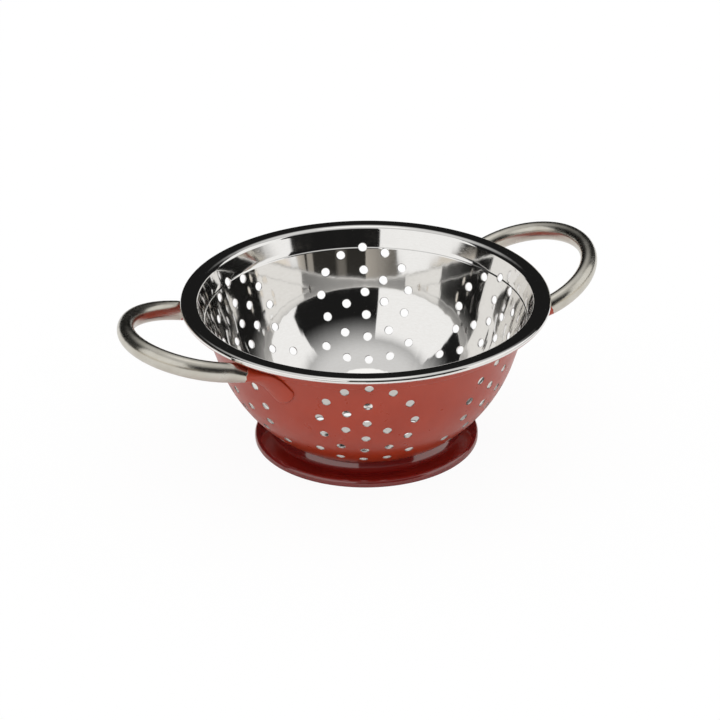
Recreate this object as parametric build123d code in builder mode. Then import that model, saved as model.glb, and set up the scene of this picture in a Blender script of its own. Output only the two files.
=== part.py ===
from build123d import *
from math import cos, degrees, radians, sin, tan
import os

# Bowl: one pressed steel sheet. Heights stand above the face that the foot rests on, and
# radii and turns of the wall are those of its outer skin.
bowl_sheet = 0.7
floor_height = 8.0
floor_radius = 46.5
heel_radius = 20.0
heel_turn = 39.0
ball_turn = 33.8
ledge_width = 0.7
ledge_rise = 0.6
collar_lean = 18.0
lip_radius = 2.6
rim_height = 93.2
collar_depth = 13.7
rim_radius = 110.5
bead_radius = 2.0
curl_turn = 265.0

# Punched holes: six like groups round the wall, and rings of holes in the floor.
hole_diameter = 5.2
punch_length = 6.0
group_count = 6
group_turn = 6.4
group_half_width = 28.0
group_depth = 72.0
group_rise = 1.0
group_lean = 2.4
floor_ring_count = 2
floor_ring_gap = 14.0
floor_ring_step = 6

# One group on the flat sheet, as shares across its half width and down its depth: the
# middle column, the holes that stand in pairs beside it, and the one without a mate.
middle_down_shares = (0, 0.2, 0.395, 0.595, 0.79, 1)
pair_shares = (
    (0.5, 0.055), (0.43, 0.485), (0.5, 0.735), (0.49, 0.965),
    (0.87, 0.185), (1, 0.375), (0.88, 0.575), (0.95, 0.83),
)
single_share = (-0.43, 0.295)

# Foot ring: a flared sheet ring whose neck cups the heel of the bowl.
foot_sheet = 0.8
foot_radius = 67.9
neck_radius = 56.0
apron_height = 4.0
flare_radius = 5.0
foot_edge_radius = 2.2
land_start_turn = 8.0
land_turn = 10.0

# Handles: one loop of oval tube each. A loop starts from its root, a point under the rim,
# and its two ends are pinched flat and lean down the wall, ahead of the loop by a lead.
tube_half_width = 5.0
tube_half_height = 6.0
tube_wall = 1.0
root_reach = 100.0
root_drop = 10.4
loop_offset = 4.6
loop_radius = 44.6
loop_sweep = 180.0
right_turn = 1.75
right_tilt = 19.4
left_turn = 178.25
left_tilt = 12.6
tab_lead = 3.5
tab_turn = 31.5
tab_depth = 8.5
tab_lean = 38.0
tab_length = 18.0
tab_half_width = 8.3
tab_half_thickness = 1.9
tab_seat = 0.3

# Sections of a tube: turns round the loop, shares of the bend from the loop to the middle of
# a tab, and shares of the tab's lower half, with the shares of its width and thickness there.
loop_steps = 12
bend_shares = (0, 0.2, 0.4, 0.6, 0.8)
tab_shares = (0, 0.4, 0.7, 0.9, 1)
tab_width_shares = (1, 1, 0.92, 0.74, 0.55)
tab_thickness_shares = (1, 1, 1, 0.9, 0.7)
bore_end_share = 0.5
oval_points = 16

# Outer skin of the bowl in section, from the axis to the end of the curled edge. The lower
# wall is part of a ball centred on the axis, and the upper wall leaves it as a cone.
flange_height = rim_height - bowl_sheet
with BuildLine() as skin_line:
    floor = Line((0, floor_height), (floor_radius, floor_height))
    heel = JernArc(floor @ 1, floor % 1, heel_radius, heel_turn)
    ball_radius = (heel @ 1).X / sin(radians(heel_turn))
    lower = JernArc(heel @ 1, heel % 1, ball_radius, ball_turn)
    wall_rise = rim_height - collar_depth - (lower @ 1).Y
    upper = Line(lower @ 1, lower @ 1 + lower % 1 * wall_rise / (lower % 1).Y)
    ledge = Line(upper @ 1, upper @ 1 + Vector(ledge_width, ledge_rise))
    collar_rise = flange_height - (ledge @ 1).Y
    rim = FilletPolyline(
        ledge @ 1,
        ledge @ 1 + Vector(collar_rise * tan(radians(collar_lean)), collar_rise),
        (rim_radius - bead_radius, flange_height),
        radius=lip_radius,
    )
    curl = JernArc(rim @ 1, rim % 1, bead_radius - bowl_sheet, -curl_turn)
skin = Wire(skin_line.edges())
crease_length = floor.length + heel.length + lower.length + upper.length


def skin_place(down, turn, proud=0):
    """Plane on the outer skin at a length down from the crease, facing straight out of it."""
    point = skin.position_at(crease_length - down, position_mode=PositionMode.LENGTH)
    along = skin.tangent_at(crease_length - down, position_mode=PositionMode.LENGTH)
    outward = Vector(cos(radians(turn)), sin(radians(turn)), 0)
    normal = outward * along.Y - Vector(0, 0, along.X)
    return Plane(
        origin=outward * point.X + Vector(0, 0, point.Y) + normal * proud,
        x_dir=(-sin(radians(turn)), cos(radians(turn)), 0),
        z_dir=normal,
    )


def skin_turn(across, down):
    """Angle that a length across the outer skin spans at a length down from the crease."""
    point = skin.position_at(crease_length - down, position_mode=PositionMode.LENGTH)
    return degrees(across / point.X)


def group_shares():
    """Shares across and down of every hole in one group."""
    for down in middle_down_shares:
        yield 0, down
    for across, down in pair_shares:
        yield across, down
        yield -across, down
    yield single_share


def hole_planes():
    """Planes of all wall holes, each group leaning a little from straight down."""
    for group in range(group_count):
        for across_share, down_share in group_shares():
            place = Vector(across_share * group_half_width, down_share * group_depth)
            place = place.rotate(Axis.Z, group_lean)
            down = place.Y - group_rise
            yield skin_place(down, group_turn + group * 360 / group_count + skin_turn(place.X, down))


# Bowl: the sheet turned about the axis, then punched.
with BuildPart() as bowl:
    with BuildSketch(Plane.XZ):
        with BuildLine():
            add(skin_line.line)
            offset(amount=bowl_sheet, side=Side.LEFT)
        make_face()
    revolve(axis=Axis.Z)
    with Locations(*hole_planes()):
        Cylinder(hole_diameter / 2, punch_length, mode=Mode.SUBTRACT)
    with Locations(Plane.XY.offset(floor_height)):
        Cylinder(hole_diameter / 2, punch_length, mode=Mode.SUBTRACT)
        for ring in range(1, floor_ring_count + 1):
            with PolarLocations(ring * floor_ring_gap, ring * floor_ring_step):
                Cylinder(hole_diameter / 2, punch_length, mode=Mode.SUBTRACT)

# The bowl up to the face of its flange as a filled form, for what is seated on it.
with BuildPart() as bowl_form:
    with BuildSketch(Plane.XZ):
        with BuildLine():
            add([floor, heel, lower, upper, ledge, *rim.edges()])
            Polyline(rim @ 1, ((rim @ 1).X, rim_height), (0, rim_height), (0, floor_height))
        make_face()
    revolve(axis=Axis.Z)

# Foot ring: its land runs along the heel of the bowl, and the neck flares to the apron.
with BuildPart() as foot_ring:
    with BuildSketch(Plane.XZ):
        with BuildLine():
            land_share = land_start_turn / heel_turn
            land = JernArc(heel @ land_share, heel % land_share, heel_radius, land_turn)
            FilletPolyline(
                land @ 1,
                (neck_radius, apron_height),
                (foot_radius, apron_height),
                (foot_radius, 0),
                radius=[flare_radius, foot_edge_radius],
            )
            offset(amount=foot_sheet, side=Side.RIGHT)
        make_face()
    revolve(axis=Axis.Z)


def blend(start, end, share):
    """Value between two, by a share that starts and ends level."""
    level = share * share * (3 - 2 * share)
    return start * (1 - level) + end * level


def tab_point(turn, side, share):
    """Point on the middle line of a tab, and the wall's outward direction there."""
    run = share * tab_length / 2
    down = tab_depth + run * cos(radians(tab_lean))
    across = tab_turn + skin_turn(run * sin(radians(tab_lean)), down)
    place = skin_place(down, turn + tab_lead + side * across, tab_seat)
    return place.origin, place.z_dir


def section_plane(path, spot, facing, side):
    """Plane square to a path, facing as near as it can to one direction."""
    along = path % spot
    return Plane(origin=path @ spot, x_dir=facing - along * facing.dot(along), z_dir=along * side)


def end_sections(loop, turn, side):
    """Sections from the loop's end to the tip of a tab: place, half sizes and if it is bored."""
    start = loop.from_local_coords((loop_offset, side * loop_radius))
    middle, tip = tab_point(turn, side, 0)[0], tab_point(turn, side, 1)[0]
    path = Spline(start, middle, tip, tangents=(-loop.x_dir, tip - middle))
    bend_length = path.param_at_point(middle)
    for share in bend_shares:
        facing = blend(-loop.z_dir, tab_point(turn, side, 0)[1], share)
        half_depth = blend(tube_half_height, tab_half_thickness, share)
        half_width = blend(tube_half_width, tab_half_width, share)
        place = section_plane(path, share * bend_length, facing, side)
        yield place, half_depth, half_width, share <= bore_end_share
    for share, width_share, thickness_share in zip(tab_shares, tab_width_shares, tab_thickness_shares):
        spot = bend_length + (1 - bend_length) * share
        place = section_plane(path, spot, tab_point(turn, side, share)[1], side)
        yield place, tab_half_thickness * thickness_share, tab_half_width * width_share, False


def loop_sections(loop):
    """Sections of the tube between the two ends of the loop, all alike."""
    for step in range(1, loop_steps):
        swing = radians(loop_sweep * step / loop_steps - loop_sweep / 2)
        facing = loop.x_dir * cos(swing) + loop.y_dir * sin(swing)
        ahead = loop.y_dir * cos(swing) - loop.x_dir * sin(swing)
        middle = loop.from_local_coords((loop_offset, 0)) + facing * loop_radius
        place = Plane(origin=middle, x_dir=-loop.z_dir, z_dir=ahead)
        yield place, tube_half_height, tube_half_width, True


def oval(half_depth, half_width):
    """Points round an oval, from its middle depth."""
    for step in range(oval_points):
        swing = radians(360 * step / oval_points)
        yield half_depth * cos(swing), half_width * sin(swing)


def make_handle(turn, tilt):
    """One handle: an oval tube bent round a half circle, and drawn down to its pinched ends."""
    outward = Vector(cos(radians(turn)), sin(radians(turn)), 0)
    rise = Vector(0, 0, 1)
    loop = Plane(
        origin=outward * root_reach + rise * (rim_height - root_drop),
        x_dir=outward * cos(radians(tilt)) + rise * sin(radians(tilt)),
        z_dir=rise * cos(radians(tilt)) - outward * sin(radians(tilt)),
    )
    sections = [
        *reversed([*end_sections(loop, turn, -1)]),
        *loop_sections(loop),
        *end_sections(loop, turn, 1),
    ]
    with BuildPart() as handle:
        for place, half_depth, half_width, bored in sections:
            with BuildSketch(place):
                with BuildLine():
                    Spline(*oval(half_depth, half_width), periodic=True)
                make_face()
        loft()
        for place, half_depth, half_width, bored in sections:
            if bored:
                with BuildSketch(place):
                    with BuildLine():
                        Spline(*oval(half_depth - tube_wall, half_width - tube_wall), periodic=True)
                    make_face()
        loft(mode=Mode.SUBTRACT)
        add(bowl_form.part, mode=Mode.SUBTRACT)
    return handle


handle_right = make_handle(right_turn, right_tilt)
handle_left = make_handle(left_turn, left_tilt)

os.makedirs("parts", exist_ok=True)
for name, piece in (
    ("bowl", bowl),
    ("foot_ring", foot_ring),
    ("handle_right", handle_right),
    ("handle_left", handle_left),
):
    piece.part.label = name
    export_step(piece.part, f"parts/{name}.step")
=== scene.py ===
from math import atan2, cos, pi, radians, sin, sqrt, tan

import bmesh
import bpy
import numpy as np
from mathutils import Matrix, Vector
from mathutils.geometry import delaunay_2d_cdt


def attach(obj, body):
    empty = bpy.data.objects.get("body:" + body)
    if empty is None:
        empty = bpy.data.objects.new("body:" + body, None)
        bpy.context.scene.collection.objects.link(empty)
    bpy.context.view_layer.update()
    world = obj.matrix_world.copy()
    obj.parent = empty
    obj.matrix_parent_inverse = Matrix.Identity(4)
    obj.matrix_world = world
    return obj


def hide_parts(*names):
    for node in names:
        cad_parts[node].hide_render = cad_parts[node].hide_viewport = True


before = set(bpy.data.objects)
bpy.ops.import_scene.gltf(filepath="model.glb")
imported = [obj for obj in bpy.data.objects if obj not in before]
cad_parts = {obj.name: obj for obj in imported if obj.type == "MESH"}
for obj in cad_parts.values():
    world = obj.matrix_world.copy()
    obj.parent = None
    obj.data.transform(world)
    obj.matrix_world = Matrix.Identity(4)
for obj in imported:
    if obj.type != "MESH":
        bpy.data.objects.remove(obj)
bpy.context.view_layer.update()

MM = 0.001

# Bowl, as built: heights above the foot's rest plane, radii of the outer skin. The curled
# edge is enamelled outside, and inside from the overspray turn on.
sheet = 0.7 * MM
floor_height = 8.0 * MM
floor_radius = 46.5 * MM
heel_radius = 20.0 * MM
heel_turn = radians(39.0)
ball_turn = radians(33.8)
ledge_heading = radians(40.6)
ledge_length = 0.25 * MM
crease_radius = 0.8 * MM
collar_heading = radians(72.0)
lip_radius = 2.6 * MM
rim_height = 93.2 * MM
collar_depth = 13.7 * MM
rim_radius = 110.5 * MM
bead_radius = 2.0 * MM
ball_radius = floor_radius / sin(heel_turn) + heel_radius
curl_turn = radians(265.0)
overspray_turn = radians(108.0)

# Holes: six like groups round the wall, and two rings about the middle of the floor. Their
# edges drop a little below the skins, and normals lean into the hole, outside and inside.
hole_radius = 2.6 * MM
edge_band = 0.42 * MM
edge_drop = 0.1 * MM
inner_drop_share = 0.4
edge_leans = (0.7, 0.4)
hole_sides = 28
group_count = 6
group_turn = radians(6.4)
group_half_width = 28.0 * MM
group_depth = 72.0 * MM
group_rise = 1.0 * MM
group_lean = radians(2.4)
middle_down_shares = (0, 0.2, 0.395, 0.595, 0.79, 1)
pair_shares = (
    (0.5, 0.055), (0.43, 0.485), (0.5, 0.735), (0.49, 0.965),
    (0.87, 0.185), (1, 0.375), (0.88, 0.575), (0.95, 0.83),
)
single_share = (-0.43, 0.295)
floor_ring_count = 2
floor_ring_pitch = 14.0 * MM
floor_ring_step = 6

# Foot ring, as built.
foot_sheet = 0.8 * MM
foot_radius = 67.9 * MM
neck_radius = 56.0 * MM
apron_height = 4.0 * MM
flare_radius = 5.0 * MM
foot_edge_radius = 2.2 * MM
land_start_turn = radians(8.0)
land_turn = radians(10.0)

# Handles, as built. bend_pull says how far the bends to the tabs swing out, and the tubes
# are enamelled over for paint_length from each tip.
tube_half_width = 5.0 * MM
tube_half_height = 6.0 * MM
root_reach = 100.0 * MM
root_drop = 10.4 * MM
loop_offset = 4.6 * MM
loop_radius = 44.6 * MM
bend_pull = 1.15
right_turn = radians(1.75)
right_tilt = radians(19.4)
left_turn = radians(178.25)
left_tilt = radians(12.6)
tab_lead = radians(3.5)
tab_turn = radians(31.5)
tab_depth = 8.5 * MM
tab_lean = radians(38.0)
tab_length = 18.0 * MM
tab_half_width = 8.3 * MM
tab_half_thickness = 1.9 * MM
tab_seat = 0.3 * MM
paint_length = 31.0 * MM

# A tab rounds off to its tip: shares of its lower half, and the least shares of its sizes.
# Its direction is read from spots a probe share before and after.
round_start = 0.45
round_length = 0.56
tip_width_share = 0.25
tip_depth_share = 0.45
probe_share = 0.05

# Fineness of the meshes: steps, and the most that a skin may bend within one.
walk_step = 0.05 * MM
sector_sides = 40
skin_step = 2.4 * MM
skin_bend = radians(12)
rim_step = 3.0 * MM
rim_bend = radians(7)
foot_step = 2.5 * MM
foot_bend = radians(5)
foot_sides = 240
finest_step = 0.06 * MM
step_cut = 0.7
bend_probes = 8
end_rings = 14
loop_rings = 72
tube_sides = 40

# Spots of the patches: how far the wall's patch runs past its holes, how clear of a hole's
# middle they stay, where a triangle counts as part of a hole, and the closer spots about the
# holes that cross the crease.
patch_margin = 3 * edge_band
wall_clear = hole_radius + 1.6 * edge_band
floor_clear = hole_radius + 2 * edge_band
open_radius = hole_radius * 0.985
floor_patch_radius = 40.0 * MM
floor_step = skin_step * 1.2
floor_shift = (0.31, 0.27)
ledge_band = 2 * MM
ledge_pitch = 0.45 * MM
ledge_spots = 14
column_gap = 0.2 * MM

# Points are shared by rounded turns and lengths, and closeness counts as touching.
keys_per_radian = 1e5
keys_per_metre = 1e7
flat_tolerance = 1e-7
length_tolerance = 1e-9
paint_tolerance = 1e-6

# Moves of the bowl's skin up to the crease, and up to the top of the collar.
wall_moves = 4
collar_moves = 8

# Looks of the bowl's skins and punched edges, by their place in its list of materials.
OUTSIDE, INSIDE, PUNCHED = range(3)


def walk(start, heading, moves):
    """Dense points and headings along lines and arcs, each move a (length, turn)."""
    r, z = start
    rows = [(r, z, heading)]
    for length, turn in moves:
        count = max(2, int(length / walk_step) + 1)
        part = length / count
        for i in range(1, count + 1):
            middle = heading + turn * (i - 0.5) / count
            r, z = r + part * cos(middle), z + part * sin(middle)
            rows.append((r, z, heading + turn * i / count))
        heading += turn
    return np.array(rows)


class Profile:
    """A sheet's skin in section, read at any length along it."""

    def __init__(self, rows):
        self.r, self.z, self.heading = rows.T
        steps = np.hypot(np.diff(self.r), np.diff(self.z))
        self.s = np.concatenate([[0], np.cumsum(steps)])
        self.length = self.s[-1]

    def at(self, s):
        """Radius, height and heading at a length."""
        return (
            np.interp(s, self.s, self.r),
            np.interp(s, self.s, self.z),
            np.interp(s, self.s, self.heading),
        )


def arc(radius, turn):
    """The move along an arc."""
    return radius * abs(turn), turn


def bowl_moves():
    """Moves along the bowl's outer skin, from the axis to the end of the curled edge."""
    wall_heading = heel_turn + ball_turn
    lead = [
        (floor_radius, 0),
        arc(heel_radius, heel_turn),
        arc(ball_radius, ball_turn),
    ]
    low = walk((0, floor_height), 0, lead)[-1]
    lead += [
        ((rim_height - collar_depth - low[1]) / sin(wall_heading), 0),
        arc(crease_radius, ledge_heading - wall_heading),
        (ledge_length, 0),
        arc(crease_radius, collar_heading - ledge_heading),
    ]
    top = walk((0, floor_height), 0, lead)[-1]
    rise = rim_height - sheet - top[1] - lip_radius * (1 - cos(collar_heading))
    collar_length = rise / sin(collar_heading)
    collar_reach = top[0] + collar_length * cos(collar_heading)
    lip_reach = collar_reach + lip_radius * sin(collar_heading)
    return lead + [
        (collar_length, 0),
        arc(lip_radius, -collar_heading),
        (rim_radius - bead_radius - lip_reach, 0),
        arc(bead_radius - sheet, -curl_turn),
    ]


moves = bowl_moves()
skin = Profile(walk((0, floor_height), 0, moves))
wall_reach = Profile(walk((0, floor_height), 0, moves[:collar_moves]))
crease_length = sum(length for length, turn in moves[:wall_moves])
patch_end = crease_length + group_rise + hole_radius + patch_margin


def add_piece(name, mesh):
    """A mesh as an object of the scene."""
    piece = bpy.data.objects.new(name, mesh)
    bpy.context.collection.objects.link(piece)
    return piece


class Shell:
    """Faces of a sheet, gathered with a normal for each face corner."""

    def __init__(self):
        self.points = []
        self.faces = []
        self.normals = []
        self.materials = []
        self.known = {}

    def point(self, key, place):
        """A point's number, the same whenever its key is."""
        if key not in self.known:
            self.known[key] = len(self.points)
            self.points.append(place)
        return self.known[key]

    def face(self, corners, material):
        """A face from its corners, each a point's number and a normal."""
        self.faces.append([point for point, normal in corners])
        self.normals.extend(normal for point, normal in corners)
        self.materials.append(material)

    def make(self, name, materials):
        """The faces as one piece."""
        mesh = bpy.data.meshes.new(name)
        mesh.from_pydata(self.points, [], self.faces)
        for material in materials:
            mesh.materials.append(material)
        mesh.polygons.foreach_set("material_index", self.materials)
        mesh.polygons.foreach_set("use_smooth", [True] * len(self.faces))
        mesh.update()
        mesh.normals_split_custom_set(self.normals)
        return add_piece(name, mesh)


def pairs(loop):
    """Neighbours round a closed loop."""
    return zip(loop, loop[1:] + loop[:1])


def square_to(vector, axis):
    """A vector's direction once its share along an axis is taken out."""
    return (vector - axis * vector.dot(axis)).normalized()


def ahead_of(heading, turn):
    """Direction in which a skin runs on, at a turn about the axis."""
    return Vector((cos(heading) * cos(turn), cos(heading) * sin(turn), sin(heading)))


def skin_radius(s):
    return skin.at(s)[0]


def skin_spot(turn, s, depth):
    """Place and outward normal on the sheet, depth measured inwards from the outer skin."""
    r, z, heading = skin.at(s)
    normal = Vector((sin(heading) * cos(turn), sin(heading) * sin(turn), -cos(heading)))
    place = Vector((r * cos(turn), r * sin(turn), z)) - normal * depth
    return place, normal


def skin_corner(shell, turn, s, side, drop=0):
    """Point and outward normal on the sheet's outside (0) or inside (1)."""
    turn %= 2 * pi
    depth = sheet - drop * inner_drop_share if side else drop
    place, normal = skin_spot(turn, s, depth)
    turn_key = round(turn * keys_per_radian) % round(2 * pi * keys_per_radian)
    return shell.point((turn_key, round(s * keys_per_metre), side), place), normal


def group_holes():
    """Places of one group's holes: length across and down the wall, leaned."""
    shares = [(0, down) for down in middle_down_shares]
    for across, down in pair_shares:
        shares += [(across, down), (-across, down)]
    shares.append(single_share)
    for across, down in shares:
        x, y = across * group_half_width, down * group_depth
        lean_x = x * cos(group_lean) - y * sin(group_lean)
        lean_y = x * sin(group_lean) + y * cos(group_lean)
        s = crease_length - (lean_y - group_rise)
        yield lean_x / skin_radius(s), s


def triangulate(points, loops):
    """Triangles over flat points, with every loop of them kept as edges."""
    edges = [edge for loop in loops for edge in pairs(loop)]
    out = delaunay_2d_cdt([Vector(p) for p in points], edges, [], 0, flat_tolerance, True)
    ids = [group[0] if group else None for group in out[3]]
    return [tuple(ids[i] for i in face) for face in out[2]]


def apart(spot, holes, width_at, reach):
    """Whether a flat spot lies farther than a reach from every hole's middle."""
    x, y = spot
    width = width_at(y)
    return all(((x - a) * width) ** 2 + (y - b) ** 2 > reach ** 2 for a, b in holes)


def orient(spots, triangles, flip):
    """Triangles wound so that their front faces away from the bowl's inside."""
    out = []
    for a, b, c in triangles:
        (x1, y1), (x2, y2), (x3, y3) = spots[a], spots[b], spots[c]
        area = (x2 - x1) * (y3 - y1) - (x3 - x1) * (y2 - y1)
        out.append((a, b, c) if (area > 0) != flip else (c, b, a))
    return out


def fill_patch(border, grid, holes, about, width_at, scale, clear, start_share, flip):
    """Flat spots and triangles of a patch with round holes, and the edge of each hole.

    about gives a spot beside a hole, width_at says what one unit across stands for at a
    height, and scale the same for the whole patch. Grid spots stay clear of the holes. The
    first spot of a hole lies start_share of a side on, and flip winds triangles backwards.
    """
    spots = list(border)
    loops = [list(range(len(border)))]
    edges = []
    for hole in holes:
        for reach in (hole_radius, hole_radius + edge_band):
            first = len(spots)
            for i in range(hole_sides):
                spots.append(about(hole, reach, 2 * pi * (i + start_share) / hole_sides))
            loops.append(list(range(first, first + hole_sides)))
        edges.append(loops[-2])
    spots += [spot for spot in grid if apart(spot, holes, width_at, clear)]
    solid = []
    for tri in triangulate([(x * scale, y) for x, y in spots], loops):
        middle = [sum(spots[i][k] for i in tri) / 3 for k in (0, 1)]
        if apart(middle, holes, width_at, open_radius):
            solid.append(tri)
    return spots, orient(spots, solid, flip), edges


def place_patch(shell, spots, triangles, rings, shift):
    """Both skins and the hole walls of one patch, turned by shift.

    rings are the holes' edges, each a loop of spots and the hole's middle.
    """
    hole_at = {i: hole for loop, hole in rings for i in loop}

    def corner(i, side):
        turn, s = spots[i]
        return skin_corner(shell, turn + shift, s, side, edge_drop if i in hole_at else 0)

    def outer_place(spot):
        return skin_spot(spot[0] + shift, spot[1], 0)[0]

    def lit_corner(i, side):
        """A corner of a skin, its normal leaned where it borders a hole."""
        point, normal = corner(i, side)
        if side:
            normal = -normal
        if i in hole_at:
            toward = (outer_place(hole_at[i]) - outer_place(spots[i])).normalized()
            normal = (normal + toward * edge_leans[side]).normalized()
        return point, normal

    for a, b, c in triangles:
        shell.face([lit_corner(i, 0) for i in (a, b, c)], OUTSIDE)
        shell.face([lit_corner(i, 1) for i in (c, b, a)], INSIDE)
    for loop, hole in rings:
        centre = outer_place(hole)
        for i, j in pairs(loop):
            wall = [corner(i, 0), corner(j, 0), corner(j, 1), corner(i, 1)]
            lit = [(p, square_to((centre - shell.points[p]).normalized(), n)) for p, n in wall]
            shell.face(lit[::-1], PUNCHED)


def about_wall_hole(hole, reach, swing):
    """Turn and length of a spot beside a hole in the wall."""
    turn, s = hole
    along = s + reach * cos(swing)
    return turn + reach * sin(swing) / skin_radius(along), along


def about_floor_hole(hole, reach, swing):
    """Flat place of a spot beside a hole in the floor."""
    return hole[0] + reach * cos(swing), hole[1] + reach * sin(swing)


def wall_patch(shell):
    """The perforated wall: one sector with its group of holes, repeated round the bowl."""
    half = pi / group_count
    length = crease_length - floor_patch_radius
    rows = max(2, round(length / skin_step))
    levels = [floor_patch_radius + length * i / rows for i in range(rows)]
    levels += row_lengths(skin, crease_length, patch_end, skin_step, skin_bend)
    turns = [-half + 2 * half * i / sector_sides for i in range(sector_sides + 1)]
    border = [(t, levels[0]) for t in turns[:-1]] + [(turns[-1], s) for s in levels[:-1]]
    border += [(t, levels[-1]) for t in turns[:0:-1]] + [(turns[0], s) for s in levels[:0:-1]]
    grid = [(t, s) for t in turns[1:-1] for s in levels[1:-1]]
    holes = list(group_holes())
    ledge_levels = [s for s in levels if crease_length <= s <= crease_length + ledge_band]
    for hole_turn, hole_s in holes:
        if abs(hole_s - crease_length) < 2 * hole_radius:
            for s in ledge_levels:
                for k in range(-ledge_spots, ledge_spots + 1):
                    turn = hole_turn + k * ledge_pitch / skin_radius(s)
                    if all(abs(turn - t) * ball_radius > column_gap for t in turns):
                        grid.append((turn, s))
    spots, triangles, edges = fill_patch(
        border, grid, holes, about_wall_hole, skin_radius,
        scale=ball_radius, clear=wall_clear, start_share=0, flip=False,
    )
    rings = list(zip(edges, holes))
    for group in range(group_count):
        place_patch(shell, spots, triangles, rings, group_turn + 2 * pi * group / group_count)


def seam_turns():
    """Turns of the columns all round the bowl, where its patches and rows meet."""
    sides = group_count * sector_sides
    return [group_turn - pi / group_count + 2 * pi * i / sides for i in range(sides)]


def polar(spot):
    x, y = spot
    return atan2(y, x), sqrt(x * x + y * y)


def floor_patch(shell):
    """The flat floor with its rings of holes."""
    reach = floor_patch_radius
    border = [(reach * cos(t), reach * sin(t)) for t in seam_turns()]
    holes = [(0.0, 0.0)]
    for ring in range(1, floor_ring_count + 1):
        pitch, count = ring * floor_ring_pitch, ring * floor_ring_step
        for swing in (2 * pi * i / count for i in range(count)):
            holes.append((pitch * cos(swing), pitch * sin(swing)))
    grid = []
    count = int(reach / floor_step) + 1
    for i in range(-count, count + 1):
        for j in range(-count, count + 1):
            spot = (i + floor_shift[0]) * floor_step, (j + floor_shift[1]) * floor_step
            if polar(spot)[1] < reach - floor_step / 2:
                grid.append(spot)
    spots, triangles, edges = fill_patch(
        border, grid, holes, about_floor_hole, lambda y: 1,
        scale=1, clear=floor_clear, start_share=0.5, flip=True,
    )
    rings = [(edge, polar(hole)) for edge, hole in zip(edges, holes)]
    place_patch(shell, [polar(spot) for spot in spots], triangles, rings, 0.0)


def bend_ahead(profile, start, step, heading):
    """Most that a profile turns away from a heading within one step."""
    probes = (start + step * k / bend_probes for k in range(1, bend_probes + 1))
    return max(abs(profile.at(s)[2] - heading) for s in probes)


def row_lengths(profile, start, end, coarse, bend):
    """Lengths along a profile, closer together where it bends."""
    rows = [start]
    while rows[-1] < end - length_tolerance:
        here = profile.at(rows[-1])[2]
        step = coarse
        while step > finest_step and bend_ahead(profile, rows[-1], step, here) > bend:
            step *= step_cut
        rows.append(min(end, rows[-1] + step))
    return rows


def rim_rows(shell):
    """Collar, flange and curled bead, above the perforated wall."""
    lengths = row_lengths(skin, patch_end, skin.length, rim_step, rim_bend)
    turns = seam_turns()
    paint_end = skin.length - arc(bead_radius - sheet, curl_turn)[0]
    overspray_start = paint_end + arc(bead_radius - sheet, overspray_turn)[0]
    for low, high in zip(lengths, lengths[1:]):
        outside = OUTSIDE if high <= paint_end + paint_tolerance else INSIDE
        inside = OUTSIDE if low > overspray_start else INSIDE
        for a, b in pairs(turns):
            spots = ((a, low), (b, low), (b, high), (a, high))
            outer = [skin_corner(shell, t, s, 0) for t, s in spots]
            inner = [skin_corner(shell, t, s, 1) for t, s in spots]
            shell.face(outer, outside)
            shell.face([(p, -n) for p, n in inner[::-1]], inside)
    heading = skin.at(skin.length)[2]
    for a, b in pairs(turns):
        edge = ((a, 0), (b, 0), (b, 1), (a, 1))
        points = [skin_corner(shell, t, skin.length, side)[0] for t, side in edge]
        shell.face([(p, ahead_of(heading, t)) for p, (t, side) in zip(points, edge)], INSIDE)


def rounded(points, radii):
    """(length, turn) moves along a line through points, with its corners rounded."""
    moves = []
    cut = 0
    for i in range(len(points) - 1):
        run = Vector(points[i + 1]) - Vector(points[i])
        length = run.length - cut
        cut = 0
        turn = 0
        if i < len(points) - 2:
            ahead = Vector(points[i + 2]) - Vector(points[i + 1])
            turn = atan2(run.x * ahead.y - run.y * ahead.x, run.dot(ahead))
            cut = radii[i] * tan(abs(turn) / 2)
        moves.append((length - cut, 0))
        if turn:
            moves.append(arc(radii[i], turn))
    return moves


def foot_profile():
    """The foot's upper skin in two stretches: its land along the heel, and on to its edge."""
    centre = Vector((floor_radius, floor_height + heel_radius))
    land_end = land_start_turn + land_turn
    start, end = (
        centre + heel_radius * Vector((sin(turn), -cos(turn)))
        for turn in (land_start_turn, land_end)
    )
    points = [end, (neck_radius, apron_height), (foot_radius, apron_height), (foot_radius, 0)]
    down = Vector(points[1]) - end
    land = walk(start, land_start_turn, [arc(heel_radius, land_turn)])
    rest = rounded(points, [flare_radius, foot_edge_radius])
    return land, walk(end, atan2(down.y, down.x), rest)


def revolve_sheet(name, stretches, thickness, sides, materials):
    """A closed sheet turned about the axis, from stretches of its upper skin."""
    shell = Shell()
    rows = []
    for stretch in stretches:
        profile = Profile(stretch)
        lengths = row_lengths(profile, 0, profile.length, foot_step, foot_bend)
        rows += [profile.at(s) for s in lengths]
    turns = [2 * pi * i / sides for i in range(sides)]

    def corner(turn, row, side):
        r, z, heading = rows[row]
        normal = Vector((-sin(heading) * cos(turn), -sin(heading) * sin(turn), cos(heading)))
        place = Vector((r * cos(turn), r * sin(turn), z)) - normal * thickness * side
        return shell.point((turn, row, side), place), normal

    for low, high in zip(range(len(rows)), range(1, len(rows))):
        for a, b in pairs(turns):
            spots = ((a, low), (b, low), (b, high), (a, high))
            upper = [corner(turn, row, 0) for turn, row in spots]
            lower = [corner(turn, row, 1) for turn, row in spots]
            shell.face(upper[::-1], 0)
            shell.face([(p, -n) for p, n in lower], 0)
    for row, sign in ((0, -1), (len(rows) - 1, 1)):
        heading = rows[row][2]
        for a, b in pairs(turns):
            edge = ((a, 0), (b, 0), (b, 1), (a, 1))
            cap = [(corner(t, row, side)[0], ahead_of(heading, t) * sign) for t, side in edge]
            shell.face(cap[::-sign], 0)
    return shell.make(name, materials)


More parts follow.
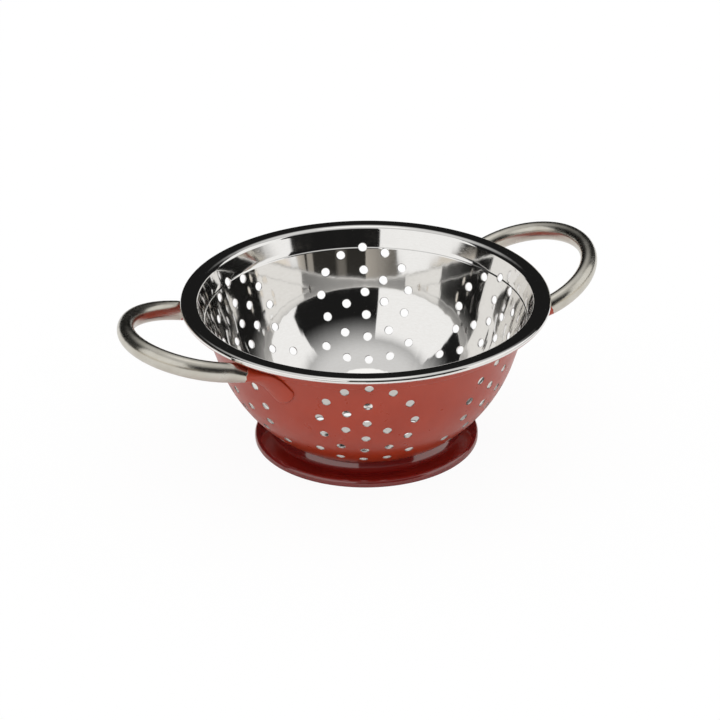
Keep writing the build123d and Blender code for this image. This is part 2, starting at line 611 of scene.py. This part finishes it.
def blend(start, end, share):
    """A value between two, by a share that starts and ends level."""
    level = share * share * (3 - 2 * share)
    return start * (1 - level) + end * level


def tab_spot(turn, side, share):
    """Middle line of a tab on the wall, and the wall's outward normal there."""
    run = share * tab_length / 2
    s = crease_length - (tab_depth + run * cos(tab_lean))
    across = tab_turn + run * sin(tab_lean) / skin_radius(s)
    return skin_spot(turn + tab_lead + side * across, s, -tab_seat)


def curve(start, leave, end, arrive, u):
    """Place and direction at a share of a curve between two points, from its tangents."""
    place = (
        start * (2 * u ** 3 - 3 * u ** 2 + 1) + leave * (u ** 3 - 2 * u ** 2 + u)
        + end * (-2 * u ** 3 + 3 * u ** 2) + arrive * (u ** 3 - u ** 2)
    )
    travel = (
        start * (6 * u ** 2 - 6 * u) + leave * (3 * u ** 2 - 4 * u + 1)
        + end * (6 * u - 6 * u ** 2) + arrive * (3 * u ** 2 - 2 * u)
    )
    return place, travel.normalized()


def end_run(loop, turn, side):
    """Rings of one end, from the loop to the tip: centre, travel, facing and half sizes."""
    origin, ahead, beside, above = loop
    start = origin + ahead * loop_offset + beside * side * loop_radius
    middle, wall = tab_spot(turn, side, 0)
    tip = tab_spot(turn, side, 1)[0]
    bend = (middle - start).length
    leave = -ahead * bend * bend_pull
    arrive = (tip - middle).normalized() * bend * bend_pull
    shares = [i / end_rings for i in range(1, end_rings + 1)]
    rings = []
    for u in shares:
        centre, travel = curve(start, leave, middle, arrive, u)
        facing = square_to(blend(-above, wall, u), travel)
        half_depth = blend(tube_half_height, tab_half_thickness, u)
        half_width = blend(tube_half_width, tab_half_width, u)
        rings.append((centre, travel, facing, half_depth, half_width))
    for u in shares:
        centre, facing = tab_spot(turn, side, u)
        before, after = (
            tab_spot(turn, side, share)[0]
            for share in (u - probe_share, min(1, u + probe_share))
        )
        travel = (after - before).normalized()
        round_off = sqrt(max(0.0, 1 - max(0.0, (u - round_start) / round_length) ** 2))
        half_depth = tab_half_thickness * max(tip_depth_share, round_off ** 0.5)
        half_width = tab_half_width * max(tip_width_share, round_off)
        rings.append((centre, travel, square_to(facing, travel), half_depth, half_width))
    return rings


def handle_rings(turn, tilt):
    """Rings of a whole handle, from one tip round its loop to the other."""
    outward = Vector((cos(turn), sin(turn), 0))
    rise = Vector((0, 0, 1))
    ahead = outward * cos(tilt) + rise * sin(tilt)
    above = rise * cos(tilt) - outward * sin(tilt)
    beside = above.cross(ahead)
    origin = outward * root_reach + rise * (rim_height - root_drop)
    loop = (origin, ahead, beside, above)
    rings = [(c, -t, f, d, w) for c, t, f, d, w in end_run(loop, turn, -1)[::-1]]
    for i in range(loop_rings + 1):
        swing = -pi / 2 + pi * i / loop_rings
        facing = ahead * cos(swing) + beside * sin(swing)
        travel = beside * cos(swing) - ahead * sin(swing)
        centre = origin + ahead * loop_offset + facing * loop_radius
        rings.append((centre, travel, -above, tube_half_height, tube_half_width))
    return rings + end_run(loop, turn, 1)


def seat(spot):
    """A point of a handle, moved out to the bowl's sheet where it would lie deeper in it."""
    reach = sqrt(spot.x ** 2 + spot.y ** 2)
    near = np.argmin((wall_reach.r - reach) ** 2 + (wall_reach.z - spot.z) ** 2)
    heading = wall_reach.heading[near]
    off_r, off_z = reach - wall_reach.r[near], spot.z - wall_reach.z[near]
    outside = off_r * sin(heading) - off_z * cos(heading)
    if outside > -sheet / 2:
        return spot
    shift = -sheet / 2 - outside
    scale = (reach + shift * sin(heading)) / reach
    return Vector((spot.x * scale, spot.y * scale, spot.z - shift * cos(heading)))


def make_handle(name, turn, tilt, materials):
    """A handle's tube as rings of one long skin, capped at both tips."""
    rings = handle_rings(turn, tilt)
    swings = [2 * pi * i / tube_sides for i in range(tube_sides)]
    points = []
    for centre, travel, facing, half_depth, half_width in rings:
        across = travel.cross(facing)
        for swing in swings:
            spot = centre + facing * half_depth * cos(swing) + across * half_width * sin(swing)
            points.append(seat(spot))
    last = len(points) - tube_sides
    faces = []
    for start in range(0, last, tube_sides):
        for i, j in pairs(list(range(start, start + tube_sides))):
            faces.append((i, j, j + tube_sides, i + tube_sides))
    faces.append(tuple(range(tube_sides))[::-1])
    faces.append(tuple(range(last, last + tube_sides)))
    mesh = bpy.data.meshes.new(name)
    mesh.from_pydata(points, [], faces)
    mesh.polygons.foreach_set("use_smooth", [True] * len(faces))
    for material in materials:
        mesh.materials.append(material)
    mesh.update()
    run = [0.0]
    for before, after in zip(rings, rings[1:]):
        run.append(run[-1] + (after[0] - before[0]).length)
    for label, measure in (
        ("along", lambda length, swing: length),
        ("around", lambda length, swing: tube_half_height * abs(swing - pi)),
        ("paint", lambda length, swing: paint_length - min(length, run[-1] - length)),
    ):
        values = [measure(length, swing) for length in run for swing in swings]
        mesh.attributes.new(label, "FLOAT", "POINT").data.foreach_set("value", values)
    return add_piece(name, mesh)


class Look:
    """A material's nodes, in short calls."""

    def __init__(self, name):
        self.material = bpy.data.materials.new(name)
        self.material.use_nodes = True
        self.tree = self.material.node_tree
        self.shader = self.tree.nodes["Principled BSDF"]

    def feed(self, socket, value):
        """A socket set to a number or colour, or linked to another node's output."""
        if isinstance(value, bpy.types.NodeSocket):
            self.tree.links.new(value, socket)
        elif isinstance(value, tuple) and len(value) == 3 and socket.type == "RGBA":
            socket.default_value = (*value, 1)
        else:
            socket.default_value = value

    def set(self, **values):
        """The shader's sockets, by name with _ for a space."""
        for name, value in values.items():
            self.feed(self.shader.inputs[name.replace("_", " ")], value)

    def node(self, kind, output, inputs=None, **settings):
        node = self.tree.nodes.new("ShaderNode" + kind)
        for name, value in settings.items():
            setattr(node, name, value)
        for name, value in (inputs or {}).items():
            self.feed(node.inputs[name], value)
        return node.outputs[output]

    def math(self, operation, first, second=0.0):
        return self.node("Math", "Value", {0: first, 1: second}, operation=operation)

    def vector_math(self, operation, first, second=(0, 0, 0), output="Vector"):
        return self.node("VectorMath", output, {0: first, 1: second}, operation=operation)

    def place(self, stretch=(1, 1, 1)):
        """Object coordinates, stretched."""
        where = self.node("TexCoord", "Object")
        return self.node("Mapping", "Vector", {"Vector": where, "Scale": stretch})

    def round_place(self, up):
        """Coordinates that run round the bowl's axis with no seam, and up it by a factor."""
        where = self.node("TexCoord", "Object")
        rim = self.vector_math("NORMALIZE", self.vector_math("MULTIPLY", where, (1, 1, 0)))
        return self.vector_math("ADD", rim, self.vector_math("MULTIPLY", where, (0, 0, up)))

    def noise(self, where, size, detail=2.0, roughness=0.5):
        """Noise from 0 to 1, with features of a size."""
        inputs = {"Vector": where, "Scale": 1 / size, "Detail": detail, "Roughness": roughness}
        return self.node("TexNoise", "Fac", inputs)

    def spread(self, value, low=0, high=1, start=0.3, end=0.7):
        """A value taken from one range to another."""
        source = {"Value": value, "From Min": start, "From Max": end}
        return self.node("MapRange", "Result", {**source, "To Min": low, "To Max": high})

    def mix(self, share, first, second):
        """Two colours mixed by a share."""
        node = self.tree.nodes.new("ShaderNodeMix")
        node.data_type = "RGBA"
        for number, value in ((0, share), (6, first), (7, second)):
            self.feed(node.inputs[number], value)
        return node.outputs[2]

    def blend(self, share, first, second):
        """Two numbers mixed by a share."""
        node = self.tree.nodes.new("ShaderNodeMix")
        for number, value in ((0, share), (2, first), (3, second)):
            self.feed(node.inputs[number], value)
        return node.outputs[0]

    def bump(self, height, depth, below=None):
        """A normal from a height of 0 to 1 that stands for a real depth."""
        inputs = {"Height": height, "Distance": depth}
        if below is not None:
            inputs["Normal"] = below
        return self.node("Bump", "Normal", inputs)

    def show(self, shader):
        """Makes a shader's output the material's surface."""
        self.feed(self.tree.nodes["Material Output"].inputs["Surface"], shader)


# Colours, each a darker and a lighter one that a cloudy noise mixes.
enamel_reds = ((0.35, 0.033, 0.009), (0.4, 0.042, 0.013))
foot_reds = ((0.15, 0.008, 0.008), (0.185, 0.012, 0.011))
mirror_greys = ((0.84, 0.825, 0.8), (0.88, 0.87, 0.85))
sheared_greys = ((0.5, 0.48, 0.46), (0.72, 0.71, 0.69))
tube_greys = ((0.56, 0.53, 0.46), (0.67, 0.645, 0.58))
floor_greys = ((0.9, 0.9, 0.9), (0.92, 0.92, 0.92))

# Orange peel of the bowl's enamel, which also covers the welded ends of the handles.
peel_size = 1.3 * MM

# Reaches at which the waves of the drawn steel start, past its flat floor, and are whole.
wave_start = 38 * MM
wave_whole = 50 * MM


def make_enamel():
    """Satin red enamel: a faint orange peel, cloudy in colour and gloss."""
    look = Look("enamel")
    where = look.place()
    cloud = look.noise(where, size=22 * MM, detail=3.0)
    peel = look.noise(where, peel_size)
    gloss = look.noise(where, size=6 * MM, detail=4.0)
    look.set(
        Base_Color=look.mix(look.spread(cloud), *enamel_reds),
        Roughness=look.spread(gloss, low=0.27, high=0.36),
        Coat_Weight=0.2,
        Coat_Roughness=0.12,
        Normal=look.bump(peel, depth=0.012 * MM),
    )
    return look.material


def make_steel():
    """Mirror-polished steel: faint draw lines down the wall, and a fine haze of wiping marks."""
    look = Look("steel")
    wave = look.noise(look.round_place(up=2.0), size=0.09, detail=1.0)
    draw = look.noise(look.round_place(up=0.6), size=0.035)
    flat = look.vector_math("MULTIPLY", look.place(), (1, 1, 0))
    reach = look.vector_math("LENGTH", flat, output="Value")
    off_floor = look.spread(reach, start=wave_start, end=wave_whole)
    wave = look.math("MULTIPLY", wave, off_floor)
    draw = look.math("MULTIPLY", draw, off_floor)
    haze = look.noise(look.place((1, 1, 4)), size=3 * MM, detail=5.0, roughness=0.6)
    look.set(
        Base_Color=look.mix(look.spread(haze), *mirror_greys),
        Metallic=1.0,
        Roughness=look.spread(haze, low=0.03, high=0.075),
        Normal=look.bump(wave, depth=0.08 * MM, below=look.bump(draw, depth=0.01 * MM)),
    )
    return look.material


def make_bare_edge():
    """The punched edge of the sheet: bare, sheared steel."""
    look = Look("bare_edge")
    grain = look.noise(look.place((1, 1, 3)), size=0.25 * MM, detail=3.0)
    look.set(
        Base_Color=look.mix(look.spread(grain), *sheared_greys),
        Metallic=1.0,
        Roughness=look.spread(grain, low=0.22, high=0.42),
        Normal=look.bump(grain, depth=0.02 * MM),
    )
    return look.material


def make_foot_enamel():
    """Glossy dark red enamel, a little wavy as it is on a pressed ring."""
    look = Look("foot_enamel")
    cloud = look.noise(look.place(), size=18 * MM, detail=3.0)
    wave = look.noise(look.round_place(up=4.0), size=0.12)
    peel = look.noise(look.place(), size=1.6 * MM)
    gloss = look.noise(look.place(), size=5 * MM, detail=4.0)
    look.set(
        Base_Color=look.mix(look.spread(cloud), *foot_reds),
        Roughness=look.spread(gloss, low=0.1, high=0.17),
        Coat_Weight=1.0,
        Coat_Roughness=0.04,
        Coat_IOR=1.8,
        Coat_Tint=(1.0, 0.8, 0.72),
        Normal=look.bump(wave, depth=0.1 * MM, below=look.bump(peel, depth=0.006 * MM)),
    )
    return look.material


def make_handle_finish():
    """Polished tube with fine marks along it, enamelled over at its welded ends."""
    look = Look("handle_finish")
    along, around, paint = (
        look.node("Attribute", "Fac", attribute_name=name) for name in ("along", "around", "paint")
    )
    grid = look.node("CombineXYZ", "Vector", {"X": along, "Y": around})
    drawn_out = look.node("Mapping", "Vector", {"Vector": grid, "Scale": (0.06, 1, 1)})
    lines = look.noise(drawn_out, size=0.5 * MM, detail=3.0)
    cloud = look.spread(look.noise(look.place(), size=9 * MM, detail=4.0))
    peel = look.noise(look.place(), peel_size)
    rag = look.noise(look.place(), size=2.2 * MM, detail=3.0)
    edge = look.math("ADD", paint, look.spread(rag, low=-0.4 * MM, high=0.4 * MM))
    coat = look.spread(edge, start=-0.1 * MM, end=0.1 * MM)
    steel, red = look.mix(cloud, *tube_greys), look.mix(cloud, *enamel_reds)
    marks = look.blend(coat, lines, peel)
    look.set(
        Base_Color=look.mix(coat, steel, red),
        Metallic=look.blend(coat, 1.0, 0.0),
        Roughness=look.blend(coat, look.blend(cloud, 0.2, 0.28), 0.3),
        Normal=look.bump(marks, depth=0.01 * MM, below=look.bump(coat, depth=0.08 * MM)),
    )
    return look.material


enamel = make_enamel()
steel = make_steel()
bare_edge = make_bare_edge()
foot_enamel = make_foot_enamel()
handle_finish = make_handle_finish()

shell = Shell()
wall_patch(shell)
floor_patch(shell)
rim_rows(shell)
bowl = shell.make("bowl_shell", [enamel, steel, bare_edge])
foot = revolve_sheet("foot_shell", foot_profile(), foot_sheet, foot_sides, [foot_enamel])
handle_right = make_handle("handle_right_tube", right_turn, right_tilt, [handle_finish])
handle_left = make_handle("handle_left_tube", left_turn, left_tilt, [handle_finish])

for piece, node in (
    (bowl, "bowl"),
    (foot, "foot_ring"),
    (handle_right, "handle_right"),
    (handle_left, "handle_left"),
):
    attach(piece, "root")
    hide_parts(node)

# Camera, where the photograph's is: its own frame is turned about the bowl's axis.
view_turn = radians(-24.5)
view_rise = radians(26.86)
view_distance = 1686.75 * MM
view_roll = radians(-0.4635)
view_lens = 139.78
sensor_width = 36.0
aim_height = 45.0 * MM
aim_right = -3.636 * MM
aim_up = 4.318 * MM


def make_camera():
    forward = Vector((0, cos(view_rise), -sin(view_rise)))
    right = Vector((1, 0, 0))
    up = right.cross(forward)
    rolled_right = right * cos(view_roll) + up * sin(view_roll)
    rolled_up = up * cos(view_roll) - right * sin(view_roll)
    aim = Vector((0, 0, aim_height)) + rolled_right * aim_right + rolled_up * aim_up
    place = aim - forward * view_distance
    axes = Matrix((rolled_right, rolled_up, -forward)).transposed().to_4x4()
    data = bpy.data.cameras.new("camera")
    data.sensor_width = sensor_width
    data.lens = view_lens
    camera = add_piece("camera", data)
    camera.matrix_world = Matrix.Rotation(view_turn, 4, "Z") @ Matrix.Translation(place) @ axes
    bpy.context.scene.camera = camera


make_camera()

# Studio: a white world, a pale floor, and a shell about the object that only gloss sees. It
# holds two soft boxes, a pale ceiling and a warm skirting on black. Directions are (turn,
# rise) in degrees as the camera stands: turn 0 lies beyond the object, and grows to the right.
shell_radius = 1.5
shell_height = 70 * MM
floor_size = 3.0
floor_glow = 1.01
floor_glow_share = 0.92
black_level = 0.012
left_box = (-169.0, -97.0)
left_box_foot = (11.2, 7.0)
left_box_slope = (-160.0, -148.0)
left_foot_softness = 0.6
right_box = (62.0, 117.0)
right_box_lean = 13.0
right_box_foot = 6.0
right_box_slope = (6.0, 20.0)
right_foot_softness = 2.0
right_end_softness = 1.2
box_softness = 0.7
box_top = 52.0
box_top_softness = 9.0
box_level = 0.97
ceiling = (30.0, 64.0)
ceiling_level = 0.7
back_ceiling = (40.0, 66.0)
back_turns = (-110.0, 60.0)
back_softness = 25.0
zenith = (71.0, 77.0)
zenith_level = 1.1
skirting_top = 11.3
skirting_softness = 0.35
skirting_fall = 0.057
skirting_level = 0.03
skirting_tint = (1.0, 0.93, 0.83)

# Brighter lengths of the skirting: the turns of each, how soft its ends are, two levels, and
# the turns at which it has them.
skirting_panels = (
    ((-190, -151), 1.5, (0.42, 0.16), (-178, -160)),
    ((-151, -96), 1.5, (0.68, 0.68), (-151, -96)),
    ((62, 108), 1.0, (0.8, 0.8), (62, 108)),
    ((108, 135.2), 0.5, (0.82, 0.32), (123, 135)),
    ((136.8, 141.5), 0.5, (0.33, 0.33), (136, 142)),
    ((159, 166), 3.0, (0.16, 0.16), (159, 166)),
)


def in_radians(angles):
    return [radians(angle) for angle in angles]


def paint_studio(look):
    """The shell's light, by turn and rise."""
    calc = look.math
    where = look.node("TexCoord", "Object")
    x, y, z = (look.node("SeparateXYZ", axis, {"Vector": where}) for axis in "XYZ")
    turn = calc("ARCTAN2", x, y)
    rise = calc("ARCSINE", look.spread(z, -1, 1, -shell_radius, shell_radius))

    def step(value, start, end):
        inputs = {"Value": value, "From Min": radians(start), "From Max": radians(end)}
        return look.node("MapRange", "Result", inputs, interpolation_type="SMOOTHSTEP")

    def past(value, edge, softness):
        return step(value, edge - softness, edge + softness)

    def between(turns, softness):
        start, end = (past(turn, edge, softness) for edge in turns)
        return calc("SUBTRACT", start, end)

    foot = look.spread(turn, *in_radians(left_box_foot), *in_radians(left_box_slope))
    over_foot = past(calc("SUBTRACT", rise, foot), 0, left_foot_softness)
    left = calc("MULTIPLY", between(left_box, box_softness), over_foot)

    lean = look.spread(rise, radians(right_box_lean), 0.0, *in_radians(right_box_slope))
    start = past(turn, right_box[0], box_softness)
    end = past(calc("SUBTRACT", turn, lean), right_box[1], right_end_softness)
    over_foot = past(rise, right_box_foot, right_foot_softness)
    right = calc("MULTIPLY", calc("SUBTRACT", start, end), over_foot)

    below_top = calc("SUBTRACT", 1.0, past(rise, box_top, box_top_softness))
    boxes = calc("MULTIPLY", calc("MAXIMUM", left, right), below_top)
    boxes = calc("MULTIPLY", boxes, box_level)
    back = calc("MULTIPLY", step(rise, *back_ceiling), between(back_turns, back_softness))
    overhead = calc("MAXIMUM", step(rise, *ceiling), back)
    overhead = calc("MULTIPLY", overhead, ceiling_level)
    top = calc("MULTIPLY", step(rise, *zenith), zenith_level)
    overhead = calc("MAXIMUM", overhead, top)
    white = calc("MAXIMUM", calc("MAXIMUM", boxes, overhead), black_level)

    warm = skirting_level
    for turns, softness, levels, fade in skirting_panels:
        panel = look.spread(turn, *levels, *in_radians(fade))
        warm = calc("MAXIMUM", warm, calc("MULTIPLY", between(turns, softness), panel))
    aside = calc("SUBTRACT", pi, calc("ABSOLUTE", turn))
    fall = calc("MULTIPLY", calc("MULTIPLY", aside, aside), skirting_fall)
    over_skirting = past(calc("ADD", rise, fall), skirting_top, skirting_softness)
    low = calc("MULTIPLY", calc("SUBTRACT", 1.0, over_skirting), warm)
    light = [calc("MAXIMUM", white, calc("MULTIPLY", low, tint)) for tint in skirting_tint]
    return look.node("CombineXYZ", "Vector", dict(zip("XYZ", light)))


def stage_piece(name, form, look):
    """A piece of the studio from a bmesh form, which it frees."""
    mesh = bpy.data.meshes.new(name)
    form.to_mesh(mesh)
    form.free()
    mesh.materials.append(look.material)
    return add_piece(name, mesh)


def make_studio_shell():
    """The shell of soft boxes and black cards, which only gloss sees."""
    look = Look("studio_cards")
    glow = look.tree.nodes.new("ShaderNodeEmission")
    look.feed(glow.inputs["Color"], paint_studio(look))
    look.show(glow.outputs[0])
    look.material.cycles.emission_sampling = "NONE"
    form = bmesh.new()
    bmesh.ops.create_icosphere(form, subdivisions=5, radius=shell_radius)
    studio = stage_piece("studio_shell", form, look)
    turned = Matrix.Rotation(view_turn, 4, "Z")
    studio.matrix_world = Matrix.Translation((0, 0, shell_height)) @ turned
    for ray in ("camera", "diffuse", "transmission", "volume_scatter", "shadow"):
        setattr(studio, "visible_" + ray, False)


def make_floor():
    """The pale floor: white to the camera but for the object's soft shadow."""
    look = Look("floor")
    grain = look.noise(look.place(), size=40 * MM, detail=4.0)
    look.set(
        Base_Color=look.mix(look.spread(grain), *floor_greys),
        Roughness=0.9,
        Specular_IOR_Level=0.0,
    )
    glow = look.tree.nodes.new("ShaderNodeEmission")
    glow.inputs["Strength"].default_value = floor_glow
    camera_ray = look.node("LightPath", "Is Camera Ray")
    mixed = look.tree.nodes.new("ShaderNodeMixShader")
    look.feed(mixed.inputs[0], look.math("MULTIPLY", camera_ray, floor_glow_share))
    look.feed(mixed.inputs[1], look.shader.outputs[0])
    look.feed(mixed.inputs[2], glow.outputs[0])
    look.show(mixed.outputs[0])
    form = bmesh.new()
    bmesh.ops.create_circle(form, cap_ends=True, segments=96, radius=floor_size)
    floor = stage_piece("floor", form, look)


make_studio_shell()
make_floor()

scene = bpy.context.scene
scene.view_settings.view_transform = "Standard"
world = bpy.data.worlds.new("world")
scene.world = world
world.use_nodes = True
world.node_tree.nodes["Background"].inputs["Color"].default_value = (1, 1, 1, 1)
world.node_tree.nodes["Background"].inputs["Strength"].default_value = 1.0
